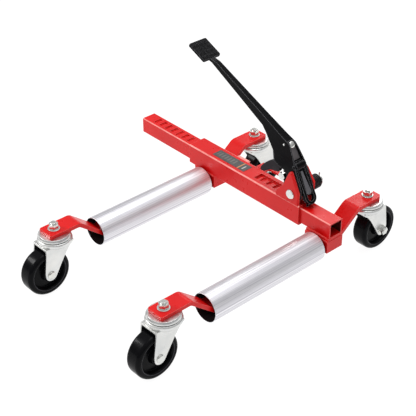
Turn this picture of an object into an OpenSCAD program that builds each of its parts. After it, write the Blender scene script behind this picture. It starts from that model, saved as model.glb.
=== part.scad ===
// Car positioning dolly with a ratchet foot pedal.
// A pair of rollers on a telescoping square tube closes under a tyre and lifts it;
// four swivel casters then let the wheel roll in any direction.
// X runs along the telescoping tube, Y along the rollers, Z up. Floor at Z = 0.

/* [Tube] */
// Outside width of the square sliding tube
inner_w = 38; // [38:0.5:38]
// Outside width of the square sleeve
sleeve_w = 48; // [48:0.5:48]
// Wall of the sleeve
sleeve_wall = 4.5; // [4:0.1:4.5]
// Wall of the sliding tube
inner_wall = 3.2; // [2.6:0.1:4]
// Height of the tube axis above the floor
tube_z = 134; // [134:1:134]
// Left end of the sliding tube
inner_x0 = -343.5; // [-360:0.5:-320]
// Right end of the sliding tube
inner_x1 = 273.5; // [273.5:0.5:276]
// Left end of the sleeve
sleeve_x0 = -166; // [-170:1:-150]
// Right end of the sleeve
sleeve_x1 = 187; // [187:1:187]
// Distance between two rack slots
rack_pitch = 20; // [20:1:24]

/* [Rollers] */
// Radius of a roller
roller_r = 32.5; // [31:0.5:33]
// Wall of a roller
roller_wall = 1.6; // [1.5:0.1:2.4]
// Front end of the rollers
roller_y0 = -342; // [-344:1:-338]
// Rear end of the rollers
roller_y1 = -30; // [-32:1:-30]
// Height of the roller axes
roller_z = 88.3; // [88.3:0.1:88.3]
// Radius of the steel roller axle
axle_r = 8; // [6:0.5:8]
// X position of the left crossbar
left_x = -114; // [-118:1:-110]
// X position of the right crossbar at rest
right_x = 242; // [240:1:244]

/* [Straps] */
// Width of the flat bars
strap_w = 43; // [40:1:44]
// Thickness of the flat bars
strap_t = 9; // [8:0.5:9]
// Height of the middle of the flat bars at the casters
strap_z = 140; // [140:0.5:140]

/* [Casters] */
// Y position of the front kingpins
front_y = -446; // [-446:1:-444]
// Y position of the rear kingpins
rear_y = 135; // [133:1:136]
// Radius of a caster wheel
wheel_r = 52; // [50:0.5:52]
// Width of a caster wheel
wheel_w = 38; // [34:1:39]
// Trail of the wheel axle behind the kingpin
trail = 31; // [28:1:32]

/* [Pedal] */
// Diameter of the pedal pivot pin
pivot_d = 14; // [10:1:16]
// Side of the square foot pad
pad_w = 49; // [44:1:52]

/* [Hidden] */
$fn = 64;

// the frame's origin is the middle of the footprint on the floor
off_x = 32;
off_y = 155.5;
red = [0.80, 0.09, 0.09];
zinc = [0.78, 0.80, 0.82];
black = [0.06, 0.06, 0.07];
alu = [0.85, 0.86, 0.88];
grey = [0.30, 0.30, 0.31];

in_h = inner_w / 2;
sl_h = sleeve_w / 2;
top_z = tube_z + sl_h;      // top of the sleeve
px = 161.5;                 // pedal pivot
pz = 178.5;
hx = -38;                   // holding pawl bolt, from the pedal pivot
hz = 23;
dx = 0;                     // drive pawl pin, from the pedal pivot
dz = 62;
pawl_a = 29;                // lean of the drive pawl
ear_t = 5;
pl_out = 18.5;              // outside half width of the pedal's cheeks
pl_in = 15.3;
run = 0.05;                 // radial running clearance
strap_b = strap_z - strap_t / 2;
strap_top = strap_z + strap_t / 2;

module place() translate([off_x, off_y, 0]) children();

// profile in (Y, Z), extruded along X, centred on x
module slab_x(x, w) translate([x - w / 2, 0, 0]) rotate([90, 0, 90]) linear_extrude(w) children();
// profile in (X, Z), extruded along Y from y0 to y1
module slab_y(y0, y1) translate([0, y1, 0]) rotate([90, 0, 0]) linear_extrude(y1 - y0) children();
// cylinder along Y
module cyl_y(x, z, r, y0, y1) translate([x, y0, z]) rotate([-90, 0, 0]) cylinder(r = r, h = y1 - y0);
// cylinder along X
module cyl_x(y, z, r, x0, x1) translate([x0, y, z]) rotate([0, 90, 0]) cylinder(r = r, h = x1 - x0);

// square with rounded corners, centred
module rsq(w, h, r) union() {
  square([w - 2 * r, h], center = true);
  square([w, h - 2 * r], center = true);
  for (i = [-1, 1], j = [-1, 1]) translate([i * (w / 2 - r), j * (h / 2 - r)]) circle(r = r, $fn = 32);
}
module sq_tube(w, wall, x0, x1, r) translate([x0, 0, tube_z]) rotate([90, 0, 90])
  linear_extrude(x1 - x0) difference() { rsq(w, w, r); rsq(w - 2 * wall, w - 2 * wall, 1.5); }

// ---- bent flat bar -------------------------------------------------------
function unit(v) = v / norm(v);
function perp(v) = [-v[1], v[0]];
function spin2(v, a) = [v[0] * cos(a) - v[1] * sin(a), v[0] * sin(a) + v[1] * cos(a)];
// bend at corner i of line p with radius r, in k steps, as [point, normal] pairs
function bend(p, i, r, k) = let(a = unit(p[i] - p[i - 1]), b = unit(p[i + 1] - p[i]),
  s = sign(cross(a, b)), th = acos(a * b), tl = r * tan(th / 2), c = p[i] - a * tl + perp(a) * s * r)
  [for (j = [0:k]) let(n = spin2(perp(a), s * th * j / k)) [c - n * s * r, n]];
function bent(p, r, k) = concat([[p[0], perp(unit(p[1] - p[0]))]],
  [for (i = [1:len(p) - 2]) for (q = bend(p, i, r, k)) q],
  [[p[len(p) - 1], perp(unit(p[len(p) - 1] - p[len(p) - 2]))]]);
module bar2d(p, r, t) {
  q = bent(p, r, 7);
  n = len(q);
  polygon(concat([for (e = q) e[0] + e[1] * t / 2], [for (i = [n - 1:-1:0]) q[i][0] - q[i][1] * t / 2]));
}

front_end = front_y - 23;
rear_end = rear_y + 23;

module front_strap(x) difference() {
  intersection() {
    slab_x(x, strap_w) bar2d([[front_end, strap_z], [-394, strap_z], [-331.5, roller_z], [-300, roller_z]], 16, strap_t);
    translate([x, 0, 60]) linear_extrude(120) polygon([[-strap_w / 2, -290], [-strap_w / 2, front_end + 3],
      [-strap_w / 2 + 3, front_end], [strap_w / 2 - 3, front_end], [strap_w / 2, front_end + 3], [strap_w / 2, -290]]);
  }
  translate([x, front_y, 100]) cylinder(r = 6, h = 60);
}

module rear_strap(x) difference() {
  intersection() {
    slab_x(x, strap_w) bar2d([[10, 84.2], [84, strap_z], [rear_end, strap_z]], 16, strap_t);
    translate([x, 0, 60]) linear_extrude(120) polygon([[-strap_w / 2, 23], [-strap_w / 2, rear_end - 6],
      [-strap_w / 2 + 6, rear_end], [strap_w / 2 - 6, rear_end], [strap_w / 2, rear_end - 6], [strap_w / 2, 23]]);
  }
  translate([x, rear_y, 100]) cylinder(r = 6, h = 60);
}

// axle rod, slotted over the flat bar at its front end
module roller_axle(x) color(zinc) difference() {
  cyl_y(x, roller_z, axle_r, -322, -8);
  translate([x - 30, -330, roller_z - strap_t / 2]) cube([60, 30, strap_t]);
}

// block that carries the crossbar under the tube
module saddle(x, x0, z0, ztop) difference() {
  translate([x0, -24, z0]) cube([66, 47, ztop - z0]);
  cyl_y(x, roller_z, axle_r, -40, -8);
}

module roller_tube(x) color(alu) difference() {
  union() {
    cyl_y(x, roller_z, roller_r, roller_y0 + 0.8, roller_y1 - 0.8);
    cyl_y(x, roller_z, roller_r - 0.7, roller_y0, roller_y1);
  }
  cyl_y(x, roller_z, roller_r - roller_wall, roller_y0 - 1, roller_y1 + 1);
}

module roller_bushes(x) color(grey) union() {
  difference() {
    cyl_y(x, roller_z, roller_r - roller_wall, -297, -284);
    cyl_y(x, roller_z, axle_r + run, -300, -280);
  }
  difference() {
    union() {
      cyl_y(x, roller_z, roller_r - roller_wall, roller_y1 - 16, roller_y1);
      cyl_y(x, roller_z, 22, roller_y1 - 8, -24.4);
    }
    cyl_y(x, roller_z, axle_r + run, -60, -20);
  }
}

// ---- casters: local +X is the trail, kingpin on the local Z axis ----------
module at_caster(x, y, a) translate([x, y, 0]) rotate([0, 0, a]) children();

fork_out = 24;
fork_in = 20.5;
function leg_arc() = [for (a = [205:12.5:355]) [trail + 14 * cos(a), wheel_r + 14 * sin(a)]];
module leg2d() polygon(concat([[-31, 117], [-31, 113], [-20, 105], [-9, 91], [4, 70]], leg_arc(),
  [[trail + 14.5, 60], [trail + 8, 108], [trail + 7, 117]]));

module fork() color(zinc) difference() {
  union() {
    rotate_extrude() polygon([[5, 112.5], [32, 112.5], [36, 115.5], [37.5, 118.5], [37.5, 122.5],
      [36, 125.2], [34, 126.4], [30, 126.4], [22, 121], [12, 118], [5, 118]]);
    slab_y(-fork_out, fork_out) leg2d();
  }
  slab_y(-fork_in, fork_in) polygon([[-60, 20], [-60, 112.5], [90, 112.5], [90, 20]]);
  translate([0, 0, 100]) cylinder(r = 6 + run, h = 40);
  cyl_y(trail, wheel_r, 6, -60, 60);
}

module caster_axle() color(zinc) union() {
  cyl_y(trail, wheel_r, 6, -35, fork_out);
  translate([trail, fork_out, wheel_r]) rotate([-90, 0, 0]) rotate_extrude() polygon([[0, 0], [9, 0], [9, 1.6], [7, 3.4], [4, 4], [0, 4]]);
}

module caster_nut() color(zinc) difference() {
  union() {
    cyl_y(trail, wheel_r, 10.5, -fork_out - 1.6, -fork_out);
    translate([trail, -fork_out - 1.6, wheel_r]) rotate([90, 0, 0]) cylinder(r = 9.6, h = 8, $fn = 6);
  }
  cyl_y(trail, wheel_r, 6, -60, 0);
}

function tread(s) = [for (a = [90:-15:0]) [43.5 + (wheel_r - 43.5) * cos(a), s * (wheel_w / 2 - 8.5 + 8.5 * sin(a))]];
module wheel2d() polygon(concat([[9, wheel_w / 2 + 0.3], [15, wheel_w / 2 + 0.3], [16.5, wheel_w / 2 - 1.5], [19, 9],
  [35.5, 8], [38, wheel_w / 2 - 4], [40.5, wheel_w / 2 - 1]], tread(1),
  [for (i = [6:-1:0]) tread(-1)[i]], [[40.5, -wheel_w / 2 + 1], [38, -wheel_w / 2 + 4], [35.5, -8],
  [19, -9], [16.5, -wheel_w / 2 + 1.5], [15, -wheel_w / 2 - 0.3], [9, -wheel_w / 2 - 0.3]]));

module caster_wheel() color(black) translate([trail, 0, wheel_r]) rotate([-90, 0, 0]) rotate_extrude($fn = 96) wheel2d();

module wheel_bush() color(zinc) difference() {
  cyl_y(trail, wheel_r, 9, -20.2, 20.2);
  cyl_y(trail, wheel_r, 6 + run, -21, 21);
}

module kingpin() color(zinc) union() {
  translate([0, 0, 105.5]) cylinder(r = 10.97, h = 6.7, $fn = 6);
  translate([0, 0, 112]) cylinder(r = 6, h = 49);
}
module kingpin_nut() color(zinc) difference() {
  translate([0, 0, strap_top + 2]) cylinder(r = 10.97, h = 10.5, $fn = 6);
  cylinder(r = 6, h = 200);
}
module kingpin_washer() color(zinc) difference() {
  translate([0, 0, strap_top]) cylinder(r = 13, h = 2);
  cylinder(r = 6, h = 200);
}
module upper_race() color(zinc) rotate_extrude() polygon([[6, 131.5], [23, 131.5], [26.5, 127], [33, 127],
  [35.5, 128.6], [35.5, 131.5], [33, strap_b], [6, strap_b]]);

module pair(x) { at_caster(x, front_y, -90) children(); at_caster(x, rear_y, 90) children(); }

// ---- main tubes ----------------------------------------------------------
module outer_sleeve() place() color(red) difference() {
  union() {
    sq_tube(sleeve_w, sleeve_wall, sleeve_x0, sleeve_x1, 3);
    // lug on the far side
    translate([-53, sl_h - 1, top_z - 17]) cube([35, 6, 17]);
  }
  // window over the rack, under the holding pawl
  translate([37.5, -12.3, top_z - 10]) cube([93.5, 24.6, 20]);
  // notch for the drive pawl at the right end
  translate([px + 6, -11.5, top_z - 10]) cube([60, 23, 20]);
}

module inner_tube() place() color(red) difference() {
  union() {
    sq_tube(inner_w, inner_wall, inner_x0, inner_x1, 2.5);
    // rack bar under the top wall
    translate([-330, -13, tube_z + in_h - 8]) cube([520, 26, 6]);
  }
  for (i = [0:24]) if (-302 + i * rack_pitch < 186) translate([-312 + i * rack_pitch, -11, tube_z + in_h - 3.2]) cube([10, 22, 20]);
}

module ear2d() polygon([[-37, top_z - pz], [-23, 10], [-17.5, 27], [-16.5, 44], [-13, 50], [-5, 54], [0, 53.5], [5, 50],
  [25.5, 23], [25.5, top_z - pz]]);
module ear_far2d() union() {
  ear2d();
  polygon([[-52, top_z - pz], [-52, 22], [-45, 33], [-30, 33], [-12, 26], [-12, top_z - pz]]);
}
module near_ear2d() polygon([[-45, top_z - pz], [-44, -11], [-22, 15], [-14, 35], [-6.5, 51], [-2.5, 53.8], [1.5, 52.4], [20, 15], [23, 9],
  [23, top_z - pz]]);
// cut that breaks the ear's outer edge, turned by a about the edge's lower end
module edge_cut(x, z, a, len) translate([x, 0, z]) rotate([0, -a, 0]) translate([0, 0, -3])
  linear_extrude(len + 6) polygon([[-5.6, -25], [1.1, -25], [1.1, -19]]);
module near_ear() place() color(red) difference() {
  translate([px, 0, pz]) difference() {
    slab_y(-sl_h, -sl_h + ear_t) near_ear2d();
    edge_cut(23, top_z - pz, 0, 30);
    edge_cut(23, 9, 26.4, 46);
  }
  cyl_y(px, pz, pivot_d / 2, -40, 0);
}
module far_ear() place() color(red) difference() {
  union() {
    translate([px, 0, pz]) slab_y(sl_h - ear_t, sl_h) ear_far2d();
    // bracket arm beside the sleeve, and the foot that joins it to the ear
    translate([0, 0, top_z - 5]) linear_extrude(5) polygon([[6.7, sl_h], [6.7, 48], [127, 48], [127, sl_h], [108, sl_h], [108, 37.2],
      [36, 37.2], [36, sl_h]]);
    translate([108, sl_h, top_z - 5]) cube([19, 5, 27]);
  }
  cyl_y(px, pz, pivot_d / 2, 0, 40);
  cyl_y(px + hx, pz + hz, 4, 0, 40);
}

module label_plate() place() color([0.2, 0.21, 0.22]) translate([-98, -13.5, top_z]) cube([103, 27, 0.6]);

module left_saddle() place() color(red) saddle(left_x, left_x - 33, 78, tube_z - sl_h);
module right_saddle() place() color(red) saddle(right_x, right_x - 34, 81.5, tube_z - in_h - 6);
module spacer_plate() place() color(red) translate([right_x - 33.5, -22, tube_z - in_h - 6]) cube([64.5, 44, 6]);
module left_front_strap() place() color(red) front_strap(left_x);
module right_front_strap() place() color(red) front_strap(right_x);
module left_rear_strap() place() color(red) rear_strap(left_x);
module right_rear_strap() place() color(red) rear_strap(right_x);
module left_roller_axle() place() roller_axle(left_x);
module right_roller_axle() place() roller_axle(right_x);
module left_roller_tube() place() roller_tube(left_x);
module right_roller_tube() place() roller_tube(right_x);
module left_roller_bushes() place() roller_bushes(left_x);
module right_roller_bushes() place() roller_bushes(right_x);

// ---- pedal ---------------------------------------------------------------
module pedal_pivot_pin() place() color(zinc) difference() {
  union() {
    cyl_y(px, pz, pivot_d / 2, -sl_h - 0.2, 68.5);
    translate([px, -sl_h, pz]) rotate([90, 0, 0]) rotate_extrude() polygon([[0, 0], [11, 0], [11, 2.4], [9.6, 4], [0, 4]]);
  }
  translate([px, 64.6, pz - 30]) cylinder(r = 1.6, h = 60, $fn = 24);
}
module cotter_pin() place() color(zinc) translate([px, 64.6, pz - 18]) cylinder(r = 1.6, h = 37, $fn = 24);
module spring_washer() place() color(zinc) difference() {
  cyl_y(px, pz, 13, 60.8, 62.6);
  cyl_y(px, pz, pivot_d / 2, 50, 70);
}
module return_spring() place() color(black) translate([px, 0, pz]) rotate([-90, 0, 0])
  for (i = [0:7]) translate([0, 0, 27.4 + i * 4.4]) rotate_extrude() translate([14.1, 0]) circle(r = 2.15, $fn = 20);

module holding_pawl_bolt() place() color(zinc) translate([px + hx, 0, pz + hz]) union() {
  cyl_y(0, 0, 4, -15, sl_h + 0.2);
  difference() {
    translate([0, -8, 0]) rotate([90, 0, 0]) cylinder(r = 9.6, h = 6.8, $fn = 6);
    cyl_y(0, 0, 3.9, -20, 0);
  }
  translate([0, sl_h, 0]) rotate([-90, 0, 0]) cylinder(r = 7.5, h = 5, $fn = 6);
}
module holding_pawl_spring() place() color(grey) translate([px + hx, 0, pz + hz]) rotate([-90, 0, 0])
  for (i = [0:2]) translate([0, 0, -7.2 + i * 1.3]) rotate_extrude() translate([5.2, 0]) circle(r = 0.7, $fn = 16);

// half width of the pedal against height above the pivot
function half_w(i) = [pl_out - i, 17.2 - i, 15.4 - i, 10.2 - i, 7.6 - i, 5.8 - i];
half_z = [50, 66, 76, 106, 145, 212];
module pedal_plan(inset) rotate([90, 0, 90]) linear_extrude(700, center = true) polygon(concat(
  [[-half_w(inset)[0], -60]], [for (k = [0:5]) [-half_w(inset)[k], half_z[k]]], [[-half_w(inset)[5], 300], [half_w(inset)[5], 300]],
  [for (k = [5:-1:0]) [half_w(inset)[k], half_z[k]]], [[half_w(inset)[0], -60]]));

// point at distance t up the pedal's open edge and n out of it
function on_rim(t, n) = [-17 - 0.506 * t + 0.863 * n, 97 + 0.863 * t + 0.506 * n];

module pedal_side2d() polygon([[-20, -8], [-12, -16], [12, -16], [22, -9], [26, -2], [25, 14], [20, 28], [11, 46], [0, 68],
  [-8, 82], [-17, 97], [-23, 105.5], [-31, 109.5], [-45, 115], [-147, 162], [-255, 210.5], [-275, 214], [-301, 226], [-302, 218], [-290, 210], [-270, 205.5],
  [-142.5, 138.5], [-126.6, 130.4], [-105, 119.6], [-94, 107.7], [-82, 94.8], [-63.5, 75.4], [-58, 66], [-58, 56], [-44, 49], [-27, 45], [-19, 40], [-18, 28], [-20, 10]]);

// open channel that faces right: room for the drive pawl, its pin and the leaf spring
module pedal_pocket() slab_y(-30, 30) polygon([[40, -40], [40, 60], on_rim(-30, 12), on_rim(17, 12), on_rim(17, -8), on_rim(-30, -8),
  [-30, 70], [-50, 66], [-52, 56], [-52, 30], [-30, -40]]);

module pad_frame() translate([px - 299, 0, pz + 220.5]) rotate([0, 24.4, 0]) children();

module pedal_arm() place() color(black) difference() {
  translate([px, 0, pz]) difference() {
    intersection() {
      slab_y(-pl_out, pl_out) pedal_side2d();
      pedal_plan(0);
    }
    intersection() { pedal_pocket(); pedal_plan(2.6); }
    slab_y(-pl_in - 0.6, -5.3) toe2d();
    cyl_y(0, 0, pivot_d / 2 + run, -30, 30);
    cyl_y(dx, dz, 4, -30, 30);
  }
  pad_frame() translate([-60, -40, -1]) cube([85.5, 80, 40]);
}
module foot_pad() place() color(black) pad_frame() union() {
  translate([-2, 0, -1]) linear_extrude(6) rsq(55, pad_w, 3.2);
  for (i = [-1.5:1:1.5], j = [-1.5:1:1.5]) translate([i * 12 - 2, j * 11, 4.9]) cylinder(r1 = 3.6, r2 = 2.6, h = 2.1, $fn = 24);
}
module leaf_spring() place() color(grey) translate([px, 0, pz]) intersection() {
  slab_y(-9.5, 9.5) polygon([on_rim(16, -8), on_rim(16, -6.4), on_rim(-2, -6.4), on_rim(-25, -5.8), on_rim(-25, -7.2), on_rim(-2, -8)]);
  pedal_plan(2.9);
}
module leaf_spring_bolt() place() color(zinc) translate([px + on_rim(8, -6.4)[0], 0, pz + on_rim(8, -6.4)[1]]) rotate([0, 59.6, 0])
  rotate_extrude() polygon([[0, 0], [5, 0], [5, 2.2], [7.6, 2.2], [7.6, 3.4], [6.2, 4.7], [3.4, 5.5], [0, 5.7]]);
module drive_pawl_pin() place() color(black) cyl_y(px + dx, pz + dz, 4, -17.2, 17.2);
module toe2d() polygon([[-101.5, 14], [-101, 19], [-95, 28], [-83, 40], [-72, 48], [-61, 53], [-52, 56], [-52, 60], [-30, 56], [-24, 52],
  [-30, 49], [-43, 42], [-46, 31], [-57, 28], [-70, 26], [-80, 20], [-89, 13.5], [-98, 11.5]]);
module stop_toe() place() color(grey) translate([px, 0, pz]) slab_y(-pl_in - 0.6, -5.3) toe2d();

// looped pawl that hangs on the pin; local -Z runs down the pawl
loop_r = 15.2;
loop_w = 13.6;
loop_z = -72.4;
hole_r = 9;
module loop2d() union() {
  translate([0, loop_z]) circle(r = loop_r);
  polygon([[-loop_r, loop_z], [loop_r, loop_z], [loop_r, -30], [loop_w, -18], [loop_w, 3], [-loop_w, 3], [-loop_w, -18], [-loop_r, -30]]);
  translate([-loop_w + 5, 0]) square([2 * loop_w - 10, 8]);
  for (i = [-1, 1]) translate([i * (loop_w - 5), 3]) circle(r = 5, $fn = 32);
}
module plate_x(x0, x1) translate([x0, 0, 0]) rotate([90, 0, 90]) linear_extrude(x1 - x0) children();
module drive_pawl() place() color(black) translate([px + dx, 0, pz + dz]) rotate([0, -pawl_a, 0]) difference() {
  union() {
    plate_x(-6, 3) difference() {
      loop2d();
      translate([0, loop_z]) circle(r = hole_r);
      translate([-hole_r, loop_z]) square([2 * hole_r, 64.9]);
    }
    plate_x(-5, 0.4) translate([-hole_r - 0.2, -66]) square([2 * hole_r + 0.4, 60]);
    slab_y(-7.3, 7.3) polygon([[-2, -82.5], [-3, -87], [-11, -91.5], [-14, -90.5], [-9, -82.5]]);
    cyl_y(0, 0, 6.5, -loop_w, loop_w);
  }
  cyl_y(0, 0, 4 + run, -30, 30);
}
module holding_pawl() place() color(black) translate([px, 0, pz]) slab_y(-3.4, 9) difference() {
  union() {
    translate([hx, hz]) circle(r = 9);
    polygon([[-46, 26], [-41, 10], [-41, 0], [-46, -13], [-51, -24.2], [-44.6, -24.4], [-37, -13], [-31.5, 2], [-29.5, 18]]);
  }
  translate([hx, hz]) circle(r = 4 + run);
}

outer_sleeve();
near_ear();
far_ear();
label_plate();
left_saddle();
left_front_strap();
left_rear_strap();
left_roller_axle();
pedal_pivot_pin();
cotter_pin();
spring_washer();
return_spring();
holding_pawl_bolt();
holding_pawl_spring();
place() pair(left_x) kingpin();  // left_kingpins
place() pair(left_x) kingpin_nut();  // left_kingpin_nuts
place() pair(left_x) kingpin_washer();  // left_kingpin_washers
place() pair(left_x) upper_race();  // left_upper_races
inner_tube();
right_saddle();
spacer_plate();
right_front_strap();
right_rear_strap();
right_roller_axle();
place() pair(right_x) kingpin();  // right_kingpins
place() pair(right_x) kingpin_nut();  // right_kingpin_nuts
place() pair(right_x) kingpin_washer();  // right_kingpin_washers
place() pair(right_x) upper_race();  // right_upper_races
left_roller_tube();
left_roller_bushes();
right_roller_tube();
right_roller_bushes();
pedal_arm();
foot_pad();
leaf_spring();
leaf_spring_bolt();
drive_pawl_pin();
stop_toe();
drive_pawl();
holding_pawl();
place() at_caster(left_x, front_y, -90) fork();  // lf_fork
place() at_caster(left_x, front_y, -90) caster_axle();  // lf_axle
place() at_caster(left_x, front_y, -90) caster_nut();  // lf_axle_nut
place() at_caster(left_x, front_y, -90) caster_wheel();  // lf_wheel
place() at_caster(left_x, front_y, -90) wheel_bush();  // lf_wheel_bush
place() at_caster(right_x, front_y, -90) fork();  // rf_fork
place() at_caster(right_x, front_y, -90) caster_axle();  // rf_axle
place() at_caster(right_x, front_y, -90) caster_nut();  // rf_axle_nut
place() at_caster(right_x, front_y, -90) caster_wheel();  // rf_wheel
place() at_caster(right_x, front_y, -90) wheel_bush();  // rf_wheel_bush
place() at_caster(left_x, rear_y, 90) fork();  // lr_fork
place() at_caster(left_x, rear_y, 90) caster_axle();  // lr_axle
place() at_caster(left_x, rear_y, 90) caster_nut();  // lr_axle_nut
place() at_caster(left_x, rear_y, 90) caster_wheel();  // lr_wheel
place() at_caster(left_x, rear_y, 90) wheel_bush();  // lr_wheel_bush
place() at_caster(right_x, rear_y, 90) fork();  // rr_fork
place() at_caster(right_x, rear_y, 90) caster_axle();  // rr_axle
place() at_caster(right_x, rear_y, 90) caster_nut();  // rr_axle_nut
place() at_caster(right_x, rear_y, 90) caster_wheel();  // rr_wheel
place() at_caster(right_x, rear_y, 90) wheel_bush();  // rr_wheel_bush
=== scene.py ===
import bpy, bmesh, math
from mathutils import Matrix, Vector


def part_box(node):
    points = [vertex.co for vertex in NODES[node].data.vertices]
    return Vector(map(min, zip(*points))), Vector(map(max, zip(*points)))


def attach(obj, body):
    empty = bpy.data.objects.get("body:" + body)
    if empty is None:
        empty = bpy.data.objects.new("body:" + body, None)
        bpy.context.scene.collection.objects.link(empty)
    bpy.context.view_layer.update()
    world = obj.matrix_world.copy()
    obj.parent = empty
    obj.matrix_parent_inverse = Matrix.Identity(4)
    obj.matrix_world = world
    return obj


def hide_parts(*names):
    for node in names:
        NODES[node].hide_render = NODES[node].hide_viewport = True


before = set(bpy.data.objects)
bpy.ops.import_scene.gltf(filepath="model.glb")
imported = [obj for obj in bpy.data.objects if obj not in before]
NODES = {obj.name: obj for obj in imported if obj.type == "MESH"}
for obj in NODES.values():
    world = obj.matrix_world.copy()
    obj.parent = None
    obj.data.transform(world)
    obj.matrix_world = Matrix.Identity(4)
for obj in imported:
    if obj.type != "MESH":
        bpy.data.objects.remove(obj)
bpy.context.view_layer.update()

OX, OY = 0.032, 0.1555          # tube centre line to the frame's origin
rad = math.radians


def srgb(r, g, b):
    f = lambda v: v / 255 / 12.92 if v / 255 <= 0.04045 else ((v / 255 + 0.055) / 1.055) ** 2.4
    return (f(r), f(g), f(b), 1.0)


# ------------------------------------------------------------------ materials
class Mat:
    """A node material with the small helpers that the finishes below share."""

    def __init__(self, name):
        self.m = bpy.data.materials.new(name)
        self.m.use_nodes = True
        self.t = self.m.node_tree
        self.b = self.t.nodes["Principled BSDF"]
        self.co = self.n("ShaderNodeTexCoord").outputs["Object"]

    def n(self, kind, **kw):
        node = self.t.nodes.new(kind)
        for k, v in kw.items():
            setattr(node, k, v)
        return node

    def link(self, a, b):
        self.t.links.new(a, b)

    def set(self, **kw):
        for k, v in kw.items():
            self.b.inputs[k.replace("_", " ")].default_value = v

    def mapping(self, scale=(1, 1, 1), rot=(0, 0, 0)):
        mp = self.n("ShaderNodeMapping")
        mp.inputs["Scale"].default_value = scale
        mp.inputs["Rotation"].default_value = rot
        self.link(self.co, mp.inputs["Vector"])
        return mp.outputs["Vector"]

    def noise(self, scale, detail=3, rough=0.55, vec=None, distortion=0.0):
        nz = self.n("ShaderNodeTexNoise")
        nz.inputs["Scale"].default_value = scale
        nz.inputs["Detail"].default_value = detail
        nz.inputs["Roughness"].default_value = rough
        nz.inputs["Distortion"].default_value = distortion
        self.link(vec or self.co, nz.inputs["Vector"])
        return nz.outputs["Fac"]

    def remap(self, fac, a, b, lo, hi):
        mr = self.n("ShaderNodeMapRange")
        for k, v in zip(("From Min", "From Max", "To Min", "To Max"), (a, b, lo, hi)):
            mr.inputs[k].default_value = v
        self.link(fac, mr.inputs["Value"])
        return mr.outputs["Result"]

    def mix(self, fac, a, b, mode="MIX"):
        mx = self.n("ShaderNodeMix", data_type="RGBA", blend_type=mode)
        if isinstance(fac, (int, float)):
            mx.inputs["Factor"].default_value = fac
        else:
            self.link(fac, mx.inputs["Factor"])
        for sock, v in ((mx.inputs[6], a), (mx.inputs[7], b)):
            if isinstance(v, tuple):
                sock.default_value = v
            else:
                self.link(v, sock)
        return mx.outputs[2]

    def math(self, op, a, b=0.0):
        mt = self.n("ShaderNodeMath", operation=op)
        for sock, v in ((mt.inputs[0], a), (mt.inputs[1], b)):
            if isinstance(v, (int, float)):
                sock.default_value = v
            else:
                self.link(v, sock)
        return mt.outputs[0]

    def edges(self, radius, lo=0.02, hi=0.22):
        """1 on convex and concave edges, 0 on flats."""
        bv = self.n("ShaderNodeBevel", samples=4)
        bv.inputs["Radius"].default_value = radius
        ge = self.n("ShaderNodeNewGeometry")
        dp = self.n("ShaderNodeVectorMath", operation="DOT_PRODUCT")
        self.link(bv.outputs["Normal"], dp.inputs[0])
        self.link(ge.outputs["True Normal"], dp.inputs[1])
        return self.remap(self.math("SUBTRACT", 1.0, dp.outputs["Value"]), lo, hi, 0.0, 1.0)

    def bump(self, height, strength, distance, after=None):
        bp = self.n("ShaderNodeBump")
        bp.inputs["Strength"].default_value = strength
        bp.inputs["Distance"].default_value = distance
        self.link(height, bp.inputs["Height"])
        if after:
            self.link(after, bp.inputs["Normal"])
        return bp.outputs["Normal"]

    def xyz(self):
        sep = self.n("ShaderNodeSeparateXYZ")
        self.link(self.co, sep.inputs[0])
        return sep.outputs[0], sep.outputs[1], sep.outputs[2]

    def radial(self, a, a0, b, b0):
        """Distance from a line, given two coordinates and the line's place in them."""
        da, db = self.math("SUBTRACT", a, a0), self.math("SUBTRACT", b, b0)
        return self.math("SQRT", self.math("ADD", self.math("MULTIPLY", da, da), self.math("MULTIPLY", db, db)))

    def colour(self, c):
        self.link(c, self.b.inputs["Base Color"])

    def rough(self, r):
        self.link(r, self.b.inputs["Roughness"])

    def normal(self, nrm):
        self.link(nrm, self.b.inputs["Normal"])


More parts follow.
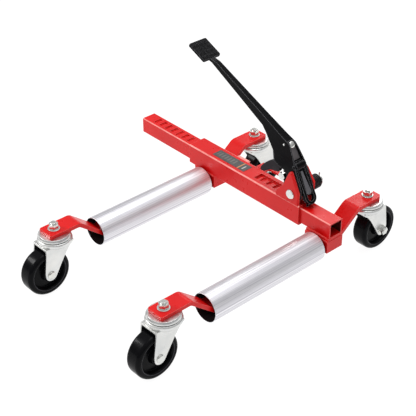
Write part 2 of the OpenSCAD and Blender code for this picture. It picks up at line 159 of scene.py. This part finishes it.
def red_paint(name="red_powder_coat", bore=0.0, corner=0.0):
    k = Mat(name)
    k.set(Metallic=0.0, Coat_Weight=0.05, Coat_Roughness=0.08, Specular_IOR_Level=0.24)
    big = k.noise(9, 3)
    fine = k.noise(160, 4, 0.6)
    base = k.mix(k.remap(big, 0.3, 0.7, 0, 1), srgb(204, 9, 10), srgb(219, 14, 14))
    base = k.mix(k.remap(fine, 0.6, 0.85, 0, 0.14), base, srgb(160, 8, 10))
    smear = k.noise(30, 5, 0.6, k.mapping((0.35, 1, 1)))
    base = k.mix(k.remap(smear, 0.58, 0.8, 0, 0.22), base, srgb(228, 44, 40))
    # painted highlight: pinkish-white along convex and concave edges of the red paint
    base = k.mix(k.math("MULTIPLY", k.edges(0.0018, 0.03, 0.26), 0.55), base, srgb(255, 150, 142))
    if bore:
        # painted highlight: thin light line along the rounded near and far top edges, broken up by noise
        x, y, z = k.xyz()
        highlight_break = k.remap(k.noise(26, 3, 0.6, k.mapping((1, 1, 1))), 0.25, 0.6, 0.45, 1)
        run = k.math("ADD", k.math("SUBTRACT", z, 0.134), k.math("ABSOLUTE", k.math("SUBTRACT", y, OY)))
        line = k.math("MULTIPLY", k.remap(run, corner + 0.0001, corner + 0.0006, 0, 1), highlight_break)
        base = k.mix(k.math("MULTIPLY", line, 0.8), base, srgb(255, 176, 168))
        # painted shade: the inside walls are darkened near black, except the upper inside left of x 0.222 m where the
        # slot floors are, and the lower wall near each mouth
        x, y, z = k.xyz()
        dy = k.math("ABSOLUTE", k.math("SUBTRACT", y, OY))
        dz = k.math("SUBTRACT", z, 0.134)
        inside = k.math("MULTIPLY", k.remap(dy, bore + 0.0001, bore + 0.0005, 1, 0),
                        k.math("MULTIPLY", k.remap(dz, bore + 0.0001, bore + 0.0005, 1, 0), k.remap(dz, -bore - 0.0005, -bore - 0.0001, 0, 1)))
        above = k.math("MULTIPLY", k.remap(dz, 0.0109, 0.0111, 0, 1), k.remap(x, 0.222, 0.2222, 1, 0))
        deep = k.remap(k.math("ABSOLUTE", k.math("SUBTRACT", x, -0.0035)), 0.268, 0.3, 1, 0)
        wall = k.remap(dz, -0.0150, -0.0142, 0, 1)
        dark = k.math("MULTIPLY", inside, k.math("MAXIMUM", deep, wall))
        dark = k.math("MULTIPLY", dark, k.math("SUBTRACT", 1.0, above))
        base = k.mix(k.math("MULTIPLY", dark, 0.93), base, srgb(24, 16, 16))
    k.colour(base)
    k.rough(k.remap(k.noise(55, 4), 0.25, 0.75, 0.24, 0.4))
    peel = k.bump(k.noise(620, 2, 0.4), 0.14, 0.0003)
    k.normal(k.bump(k.noise(48, 3), 0.12, 0.0012, peel))
    return k.m


def zinc(name, tint=(0, 0, 0), rough=(0.24, 0.42), scale=1.0, gain=1.0):
    k = Mat(name)
    k.set(Metallic=1.0)
    g = lambda r, gg, b: srgb(min(255, (r + tint[0]) * gain), min(255, (gg + tint[1]) * gain), min(255, (b + tint[2]) * gain))
    base = k.mix(k.remap(k.noise(22 * scale, 3, 0.5), 0.3, 0.7, 0, 1), g(228, 228, 225), g(206, 208, 208))
    base = k.mix(k.remap(k.noise(8 * scale, 2), 0.5, 0.8, 0, 0.4), base, g(226, 222, 212))
    base = k.mix(k.remap(k.noise(60 * scale, 5, 0.7), 0.62, 0.8, 0, 0.22), base, g(186, 189, 192))
    # painted highlight: near-white along edges of the zinc
    base = k.mix(k.math("MULTIPLY", k.edges(0.0008, 0.04, 0.35), 0.4), base, srgb(250, 250, 250))
    k.colour(base)
    k.rough(k.remap(k.noise(50 * scale, 4), 0.25, 0.75, *rough))
    grain = k.bump(k.noise(520 * scale, 2), 0.05, 0.0002)
    k.normal(k.bump(k.noise(34 * scale, 2), 0.05, 0.0015, grain))
    return k.m


def aluminium():
    """Drawn tube: fine lines along it outside, painted shade inside."""
    k = Mat("roller_aluminium")
    k.set(Metallic=1.0)
    drawn = k.mapping((1.0, 0.004, 1.0))
    lines = k.noise(300, 3, 0.7, drawn)
    broad = k.noise(46, 2, 0.5, drawn)
    base = k.mix(k.remap(lines, 0.34, 0.64, 0, 1), srgb(206, 205, 211), srgb(246, 245, 248))
    base = k.mix(k.remap(broad, 0.5, 0.72, 0, 0.6), base, srgb(252, 251, 252))
    base = k.mix(k.remap(k.noise(95, 3, 0.6, drawn), 0.56, 0.66, 0, 0.75), base, srgb(184, 182, 190))
    scuff = k.noise(30, 5, 0.65, k.mapping((1, 0.25, 1)))
    base = k.mix(k.remap(scuff, 0.62, 0.85, 0, 0.25), base, srgb(178, 172, 180))
    x, y, z = k.xyz()
    r = k.math("MINIMUM", k.radial(x, -0.082, z, 0.0883), k.radial(x, 0.274, z, 0.0883))
    inner = k.remap(r, 0.0312, 0.0316, 1, 0)
    rim = k.math("MULTIPLY", k.remap(y, -0.1862, -0.1858, 1, 0), k.remap(r, 0.0312, 0.0316, 0, 1))
    base = k.mix(k.math("MULTIPLY", rim, 0.6), base, srgb(246, 246, 248))
    # painted shade: the bore of both rollers is darkened to near black
    base = k.mix(k.math("MULTIPLY", inner, 0.97), base, srgb(20, 18, 21))
    k.colour(base)
    k.rough(k.math("ADD", k.remap(k.noise(140, 3, 0.6, drawn), 0.3, 0.7, 0.44, 0.54), k.math("MULTIPLY", inner, 0.2)))
    k.normal(k.bump(lines, 0.10, 0.00025))
    return k.m


def bore():
    """Roller bushes, inside the roller tubes."""
    k = Mat("nylon_dark")
    k.set(Metallic=0.0, Specular_IOR_Level=0.1)
    base = k.mix(k.remap(k.noise(120, 4), 0.3, 0.7, 0, 1), srgb(9, 9, 11), srgb(18, 17, 20))
    k.colour(base)
    k.rough(k.remap(k.noise(90, 3), 0.3, 0.7, 0.45, 0.65))
    k.normal(k.bump(k.noise(500, 3), 0.2, 0.0003))
    return k.m


def black_paint(name="black_paint", lo=(7, 7, 9), hi=(14, 14, 16), edge_highlight=(126, 126, 130), rough=(0.2, 0.36), peel=0.16, ior=0.05, coat=0.02, ew=0.0018):
    k = Mat(name)
    k.set(Metallic=0.0, Coat_Weight=coat, Coat_Roughness=0.1, Specular_IOR_Level=ior)
    base = k.mix(k.remap(k.noise(40, 4), 0.3, 0.7, 0, 1), srgb(*lo), srgb(*hi))
    # painted highlight: edges lightened to the edge_highlight colour
    base = k.mix(k.math("MULTIPLY", k.edges(ew, 0.02, 0.22), 0.8), base, srgb(*edge_highlight))
    base = k.mix(k.remap(k.noise(420, 5, 0.7), 0.7, 0.8, 0, 0.3), base, srgb(46, 46, 50))
    k.colour(base)
    k.rough(k.remap(k.noise(60, 4), 0.25, 0.75, *rough))
    fine = k.bump(k.noise(700, 2, 0.4), peel, 0.0003)
    k.normal(k.bump(k.noise(60, 3), 0.12, 0.001, fine))
    return k.m


def rubber():
    """Foot pad: painted highlight along the pimples' edges makes them lighter than the plate."""
    k = Mat("black_rubber")
    k.set(Metallic=0.0, Specular_IOR_Level=0.07)
    base = k.mix(k.remap(k.noise(70, 4), 0.3, 0.7, 0, 1), srgb(10, 10, 12), srgb(20, 20, 22))
    # painted highlight on the pimples' edges
    base = k.mix(k.math("MULTIPLY", k.edges(0.0014, 0.03, 0.3), 0.95), base, srgb(118, 118, 122))
    k.colour(base)
    k.rough(k.remap(k.noise(120, 3), 0.3, 0.7, 0.36, 0.55))
    k.normal(k.bump(k.noise(1100, 3), 0.35, 0.0003))
    return k.m


def steel(name, lo, hi, metallic=0.6, rough=(0.34, 0.55), edge_highlight=(150, 150, 154), ior=0.3):
    k = Mat(name)
    k.set(Metallic=metallic, Specular_IOR_Level=ior)
    base = k.mix(k.remap(k.noise(50, 5, 0.6), 0.3, 0.7, 0, 1), srgb(*lo), srgb(*hi))
    # painted highlight: edges lightened to the edge_highlight colour
    base = k.mix(k.math("MULTIPLY", k.edges(0.001, 0.03, 0.3), 0.5), base, srgb(*edge_highlight))
    k.colour(base)
    k.rough(k.remap(k.noise(80, 4), 0.3, 0.7, *rough))
    k.normal(k.bump(k.noise(520, 3), 0.2, 0.0003))
    return k.m


def wheel_black():
    k = Mat("wheel_black")
    k.set(Metallic=0.0, Coat_Weight=0.05, Coat_Roughness=0.05, Specular_IOR_Level=0.05)
    base = k.mix(k.remap(k.noise(30, 4), 0.3, 0.7, 0, 1), srgb(5, 5, 7), srgb(12, 12, 15))
    base = k.mix(k.remap(k.noise(190, 6, 0.75), 0.64, 0.84, 0, 0.3), base, srgb(34, 34, 38))
    # painted highlight: grey along the wheels' edges
    base = k.mix(k.math("MULTIPLY", k.edges(0.0014, 0.05, 0.35), 0.5), base, srgb(74, 74, 80))
    x, y, z = k.xyz()
    r = k.math("MINIMUM", k.radial(y, -0.3215, z, 0.052), k.radial(y, 0.3215, z, 0.052))
    # painted highlight: a thin light ring at 40-41 mm radius on the side faces of all four wheels
    ring = k.math("MULTIPLY", k.remap(r, 0.0398, 0.0404, 0, 1), k.remap(r, 0.0410, 0.0416, 1, 0))
    base = k.mix(k.math("MULTIPLY", ring, 0.55), base, srgb(86, 86, 92))
    k.colour(base)
    k.rough(k.remap(k.noise(45, 4), 0.25, 0.75, 0.2, 0.34))
    k.normal(k.bump(k.noise(380, 4), 0.08, 0.0004))
    return k.m


def label_print():
    """Dark grey sticker: bars and one orange rule, no lettering."""
    k = Mat("label_print")
    k.set(Metallic=0.0, Coat_Weight=0.2, Coat_Roughness=0.2)
    lo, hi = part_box("label_plate")
    sep = k.n("ShaderNodeSeparateXYZ")
    k.link(k.co, sep.inputs[0])
    u = k.remap(sep.outputs[0], lo.x, hi.x, 0, 1)
    v = k.remap(sep.outputs[1], lo.y, hi.y, 0, 1)

    def band(s, a, b, soft=0.006):
        up = k.remap(s, a - soft, a + soft, 0, 1)
        dn = k.remap(s, b - soft, b + soft, 1, 0)
        return k.math("MULTIPLY", up, dn)

    base = k.mix(k.remap(k.noise(90, 4), 0.3, 0.7, 0, 1), srgb(50, 50, 49), srgb(68, 68, 66))
    blocks = k.math("MULTIPLY", band(u, 0.06, 0.62), band(v, 0.24, 0.78, 0.03))
    bars = k.n("ShaderNodeTexWave", wave_type="BANDS", bands_direction="X", wave_profile="SIN")
    bars.inputs["Scale"].default_value = 34
    bars.inputs["Distortion"].default_value = 0.6
    bars.inputs["Detail"].default_value = 1
    k.link(k.co, bars.inputs["Vector"])
    bars = k.math("MULTIPLY", k.remap(bars.outputs["Fac"], 0.4, 0.62, 0, 1), blocks)
    base = k.mix(k.math("MULTIPLY", bars, 0.6), base, srgb(118, 114, 110))
    base = k.mix(band(u, 0.775, 0.805), base, srgb(206, 132, 74))
    rule = k.math("MULTIPLY", band(u, 0.875, 0.905), band(v, 0.2, 0.72, 0.03))
    base = k.mix(k.math("MULTIPLY", rule, 0.8), base, srgb(205, 206, 202))
    k.colour(base)
    k.rough(k.remap(k.noise(140, 3), 0.3, 0.7, 0.3, 0.45))
    k.normal(k.bump(k.noise(400, 3), 0.1, 0.0002))
    return k.m


RED, ZINC, ALU = red_paint(), zinc("zinc_plate"), aluminium()
RED_SLEEVE, RED_INNER = red_paint("red_powder_coat_sleeve", 0.0192, 0.0450), red_paint("red_powder_coat_tube", 0.0157, 0.0355)
BOLT = zinc("zinc_bolt", (2, 2, 0), (0.12, 0.24), 1.6)
BORE, BLACK, RUBBER = bore(), black_paint(), rubber()
PAWL = black_paint("black_pawl", (5, 5, 6), (10, 10, 12), (150, 150, 154), (0.18, 0.3), ew=0.0015)
TOE = steel("dark_steel", (34, 31, 34), (46, 42, 46), 0.0, (0.42, 0.6), (84, 80, 84), 0.1)
LEAF = steel("spring_steel", (84, 80, 82), (104, 100, 102), 0.2, (0.35, 0.5), (196, 196, 198))
LINK = steel("pawl_link_steel", (84, 84, 88), (106, 106, 111), 0.2, (0.3, 0.42), (196, 196, 200))
WHEEL, LABEL = wheel_black(), label_print()
SPRING = black_paint("black_spring", (8, 8, 9), (16, 16, 18), (70, 70, 74), (0.2, 0.35), 0.1, 0.25, 0.1)

FINISH = {}
for names, mat in (
    ("outer_sleeve", RED_SLEEVE), ("inner_tube", RED_INNER),
    ("near_ear far_ear left_saddle left_front_strap left_rear_strap right_saddle spacer_plate right_front_strap right_rear_strap", RED),
    ("left_roller_axle right_roller_axle spring_washer left_kingpin_washers right_kingpin_washers left_upper_races right_upper_races lf_fork rf_fork lr_fork rr_fork", ZINC),
    ("pedal_pivot_pin cotter_pin holding_pawl_bolt left_kingpins left_kingpin_nuts right_kingpins right_kingpin_nuts leaf_spring_bolt", BOLT),
    ("lf_axle rf_axle lr_axle rr_axle lf_axle_nut rf_axle_nut lr_axle_nut rr_axle_nut lf_wheel_bush rf_wheel_bush lr_wheel_bush rr_wheel_bush", BOLT),
    ("left_roller_tube right_roller_tube", ALU), ("left_roller_bushes right_roller_bushes", BORE),
    ("pedal_arm drive_pawl_pin", BLACK), ("foot_pad", RUBBER), ("drive_pawl holding_pawl", PAWL), ("stop_toe", TOE), ("leaf_spring", LEAF),
    ("return_spring holding_pawl_spring", SPRING), ("label_plate", LABEL),
    ("lf_wheel rf_wheel lr_wheel rr_wheel", WHEEL),
):
    for n in names.split():
        FINISH[n] = mat

BEVEL = {RED: 0.0009, RED_SLEEVE: 0.0006, RED_INNER: 0.0005, ZINC: 0.0006, BOLT: 0.0004, BLACK: 0.0009, RUBBER: 0.0008, PAWL: 0.0007, TOE: 0.0009, LEAF: 0.0003,
         ALU: 0.0005, BORE: 0.0004, WHEEL: 0.0004}


def finish_node(o, mat):
    o.data.materials.clear()
    o.data.materials.append(mat)
    for p in o.data.polygons:
        p.material_index = 0
    w = BEVEL.get(mat)
    if not w:
        return
    weld = o.modifiers.new("weld", "WELD")
    weld.merge_threshold = 2e-6
    flat = o.modifiers.new("flat", "DECIMATE")
    flat.decimate_type, flat.angle_limit = "DISSOLVE", rad(0.6)
    bv = o.modifiers.new("bevel", "BEVEL")
    bv.width, bv.segments, bv.limit_method, bv.angle_limit = w, 2, "ANGLE", rad(32)
    bv.miter_outer, bv.use_clamp_overlap = "MITER_ARC", True
    wn = o.modifiers.new("normals", "WEIGHTED_NORMAL")
    wn.weight, wn.keep_sharp = 60, False


for name, o in NODES.items():
    finish_node(o, FINISH[name])

# ------------------------------------------------------------------ pieces that only Blender shows
def mesh_piece(name, bm, mat, body, smooth=True):
    bmesh.ops.recalc_face_normals(bm, faces=bm.faces)
    me = bpy.data.meshes.new(name)
    bm.to_mesh(me)
    bm.free()
    for p in me.polygons:
        p.use_smooth = smooth
    ob = bpy.data.objects.new(name, me)
    bpy.context.scene.collection.objects.link(ob)
    me.materials.append(mat)
    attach(ob, body)
    return ob


def tube_along(bm, pts, radius, sides=12):
    """Round bar through pts, with domed ends; radius is a number or a function of the point's index."""
    r_of = radius if callable(radius) else (lambda i: radius)
    pts = [Vector(p) for p in pts]
    tan = [(pts[min(i + 1, len(pts) - 1)] - pts[max(i - 1, 0)]).normalized() for i in range(len(pts))]
    side = tan[0].orthogonal().normalized()
    rings = []
    for i, p in enumerate(pts):
        side = (side - tan[i] * side.dot(tan[i])).normalized()
        up = tan[i].cross(side)
        rings.append([bm.verts.new(p + (side * math.cos(a) + up * math.sin(a)) * r_of(i))
                      for a in (2 * math.pi * k / sides for k in range(sides))])
    for a, b in zip(rings, rings[1:]):
        for k in range(sides):
            bm.faces.new((a[k], a[(k + 1) % sides], b[(k + 1) % sides], b[k]))
    for ring, p, t, r in ((rings[0], pts[0], -tan[0], r_of(0)), (rings[-1], pts[-1], tan[-1], r_of(len(pts) - 1))):
        inner = [bm.verts.new(p + (v.co - p) * 0.6 + t * r * 0.45) for v in ring]
        tip = bm.verts.new(p + t * r * 0.6)
        for k in range(sides):
            bm.faces.new((ring[k], ring[(k + 1) % sides], inner[(k + 1) % sides], inner[k]))
            bm.faces.new((inner[k], inner[(k + 1) % sides], tip))


def at(x, y, z):
    """Millimetres from the tube's centre line to the frame's metres."""
    return Vector(((x + 32) / 1000, (y + 155.5) / 1000, z / 1000))


# coiled return spring on the pedal's pivot, with its two legs
PX, PZ = 161.5, 178.5
coil, turns, c_r = [], 7.0, 14.1
y_a, y_b = 27.6, 58.2
for i in range(int(turns * 28) + 1):
    a = rad(200) + 2 * math.pi * i / 28
    f = i / (turns * 28)
    coil.append(at(PX + c_r * math.cos(a), y_a + (y_b - y_a) * f, PZ + c_r * math.sin(a)))
a0, a1 = rad(200), rad(200) + 2 * math.pi * turns
lead = [at(PX + c_r * math.cos(a0) + d * math.sin(a0), y_a - 0.1, PZ + c_r * math.sin(a0) - d * math.cos(a0)) for d in (-13, -9, -5, -2)]
tail = [at(PX + c_r * math.cos(a1) - d * math.sin(a1), y_b + 0.1, PZ + c_r * math.sin(a1) + d * math.cos(a1)) for d in (2, 5, 9, 12)]
bm = bmesh.new()
tube_along(bm, lead[::1] + coil + tail, 0.0020, 14)
spring = mesh_piece("return_spring_coil", bm, SPRING, "frame")
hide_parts("return_spring")


def bead(name, a, b, r, body):
    """Run of overlapping weld ripples from a to b, under the powder coat."""
    a, b = at(*a), at(*b)
    n = max(12, int((b - a).length / 0.0009))
    pts = [a.lerp(b, i / n) for i in range(n + 1)]
    wob = lambda i: r * (1 + 0.16 * math.cos(i * 1.9) + 0.08 * math.sin(i * 0.37 + r * 9000)) * min(1, 0.45 + 0.25 * min(i, n - i))
    bm = bmesh.new()
    tube_along(bm, pts, wob, 10)
    return mesh_piece(name, bm, RED, body)


bead("weld_near_ear_outside", (118.5, -23.2, 157.6), (183.5, -23.2, 157.6), 0.0015, "frame")
bead("weld_near_ear_inside", (118.5, -18.8, 158.2), (183.5, -18.8, 158.2), 0.00095, "frame")
bead("weld_far_ear_outside", (111, 24.0, 158.2), (186, 24.0, 158.2), 0.0019, "frame")
bead("weld_far_ear_inside", (133, 18.8, 158.2), (186, 18.8, 158.2), 0.00095, "frame")
bead("weld_bracket_left", (8, 24.2, 158.2), (35, 24.2, 158.2), 0.0018, "frame")
bead("weld_left_block_near", (-146.5, -24.0, 110.2), (-81.5, -24.0, 110.2), 0.0021, "frame")
bead("weld_left_block_far", (-146.5, 23.2, 110.2), (-81.5, 23.2, 110.2), 0.0024, "frame")
bead("weld_left_block_right", (-81.0, -23.0, 110.0), (-81.0, 22.5, 110.0), 0.0021, "frame")
bead("weld_left_rear_bar", (-135, 23.2, 89.4), (-93, 23.2, 89.4), 0.0024, "frame")
bead("weld_right_block_near", (208.5, -22.4, 109.1), (272.5, -22.4, 109.1), 0.0019, "sliding_jaw")
bead("weld_spacer_near", (209.0, -19.6, 115.1), (272.0, -19.6, 115.1), 0.0020, "sliding_jaw")
bead("weld_spacer_far", (209.0, 19.6, 115.1), (272.0, 19.6, 115.1), 0.0020, "sliding_jaw")
bead("weld_right_rear_bar", (221, 23.2, 89.4), (263, 23.2, 89.4), 0.0024, "sliding_jaw")

# bright link strip on the face of the looped pawl
LEAN = Matrix.Rotation(rad(-29), 4, "Y")


def pawl_pt(x, y, z):
    v = LEAN @ Vector((x, y, z))
    return at(PX + v.x, v.y, PZ + 62 + v.z)


half = [(3.0 + 4.2 * (t / 8) ** 1.3, -13 - 48 * t / 8) for t in range(9)]
half += [(7.2 * math.cos(rad(w)), -61 - 4.8 * math.sin(rad(w))) for w in range(15, 91, 15)]
drift = lambda z: -1.6 * min(1, max(0, (z + 61) / 48))
outline = [(-y + drift(z), z) for y, z in half] + [(y + drift(z), z) for y, z in reversed(half[:-1])]
bm = bmesh.new()
lo_r = [bm.verts.new(pawl_pt(0.3, y, z)) for y, z in outline]
hi_r = [bm.verts.new(pawl_pt(2.0, y, z)) for y, z in outline]
for k in range(len(outline)):
    j = (k + 1) % len(outline)
    bm.faces.new((lo_r[k], lo_r[j], hi_r[j], hi_r[k]))
bm.faces.new(lo_r)
bm.faces.new(list(reversed(hi_r)))
link = mesh_piece("drive_pawl_link", bm, LINK, "drive_pawl_body")
bv = link.modifiers.new("bevel", "BEVEL")
bv.width, bv.segments, bv.limit_method, bv.angle_limit = 0.0006, 3, "ANGLE", rad(40)
wn = link.modifiers.new("normals", "WEIGHTED_NORMAL")


def rivet(name, centre, axis, r, h, mat, body):
    """Domed rivet head turned about its own axis."""
    prof = [(0.0, h), (0.34, h * 0.97), (0.62, h * 0.84), (0.84, h * 0.56), (0.96, h * 0.26), (1.0, 0.0), (1.0, -0.0012)]
    q = Vector((0, 0, 1)).rotation_difference(Vector(axis).normalized())
    bm = bmesh.new()
    top = bm.verts.new(centre + q @ Vector((0, 0, h)))
    prev = None
    for f, z in prof[1:]:
        ring = [bm.verts.new(centre + q @ Vector((r * f * math.cos(a), r * f * math.sin(a), z))) for a in (2 * math.pi * k / 24 for k in range(24))]
        for k in range(24):
            if prev is None:
                bm.faces.new((top, ring[k], ring[(k + 1) % 24]))
            else:
                bm.faces.new((prev[k], ring[k], ring[(k + 1) % 24], prev[(k + 1) % 24]))
        prev = ring
    bm.faces.new(prev)
    return mesh_piece(name, bm, mat, body)


rivet("cheek_pin_head", at(PX - 37.7, -11.3, PZ + 100.4), (0.0, -1.0, 0.17), 0.0026, 0.0013, BOLT, "pedal")

# ------------------------------------------------------------------ stage, light, camera
def plane(name, size, z, mat):
    bm = bmesh.new()
    bmesh.ops.create_grid(bm, x_segments=8, y_segments=8, size=size / 2)
    me = bpy.data.meshes.new(name)
    bm.to_mesh(me)
    bm.free()
    ob = bpy.data.objects.new(name, me)
    ob.location.z = z
    bpy.context.scene.collection.objects.link(ob)
    me.materials.append(mat)
    return ob


def floor_mat():
    k = Mat("studio_floor")
    k.set(Specular_IOR_Level=0.1, Roughness=0.9)
    k.colour(k.mix(k.remap(k.noise(3, 3), 0.3, 0.7, 0, 1), (0.11, 0.11, 0.11, 1), (0.13, 0.13, 0.13, 1)))
    k.set(Emission_Color=(1, 1, 1, 1), Emission_Strength=0.95)
    return k.m


floor = plane("studio_floor", 90, -0.0006, floor_mat())

world = bpy.data.worlds.new("studio")
bpy.context.scene.world = world
world.use_nodes = True
wt = world.node_tree
bg = wt.nodes["Background"]
tc = wt.nodes.new("ShaderNodeTexCoord")
sp = wt.nodes.new("ShaderNodeSeparateXYZ")
cr = wt.nodes.new("ShaderNodeValToRGB")
wt.links.new(tc.outputs["Generated"], sp.inputs[0])
wt.links.new(sp.outputs[2], cr.inputs["Fac"])
ramp = cr.color_ramp
ramp.elements[0].position, ramp.elements[0].color = 0.0, (0.3, 0.3, 0.31, 1)
ramp.elements[1].position, ramp.elements[1].color = 1.0, (0.95, 0.95, 0.95, 1)
for pos, v in ((0.14, 0.34), (0.34, 0.6), (0.55, 0.72), (0.78, 0.95)):
    e = ramp.elements.new(pos)
    e.color = (v, v, v * 1.01, 1)
wt.links.new(cr.outputs["Color"], bg.inputs["Color"])
bg.inputs["Strength"].default_value = 0.8


def area(name, loc, target, size, power, size_y=None):
    d = bpy.data.lights.new(name, "AREA")
    d.energy, d.size = power, size
    if size_y:
        d.shape, d.size_y = "RECTANGLE", size_y
    ob = bpy.data.objects.new(name, d)
    ob.location = loc
    ob.rotation_mode = "QUATERNION"
    ob.rotation_quaternion = (Vector(target) - Vector(loc)).to_track_quat("-Z", "Y")
    bpy.context.scene.collection.objects.link(ob)
    return ob


area("key", (-1.85, -1.65, 1.75), (0, 0, 0.1), 0.7, 30)
area("top", (0.1, 0.2, 2.5), (0, 0, 0.1), 1.6, 25)
area("rim", (-1.0, 1.9, 1.5), (0, 0, 0.15), 0.9, 8)

cam_d = bpy.data.cameras.new("camera")
cam = bpy.data.objects.new("camera", cam_d)
bpy.context.scene.collection.objects.link(cam)
cam.location = (1.56988, -1.33667, 1.48106)
cam.rotation_mode = "QUATERNION"
cam.rotation_quaternion = Vector((-0.617807, 0.561280, -0.550708)).to_track_quat("-Z", "Y")
cam_d.sensor_width, cam_d.lens = 36.0, 97.10
cam_d.shift_x, cam_d.shift_y = -0.01658, -0.01391
cam_d.clip_start, cam_d.clip_end = 0.05, 60
bpy.context.scene.camera = cam
bpy.context.scene.view_settings.view_transform = "Standard"
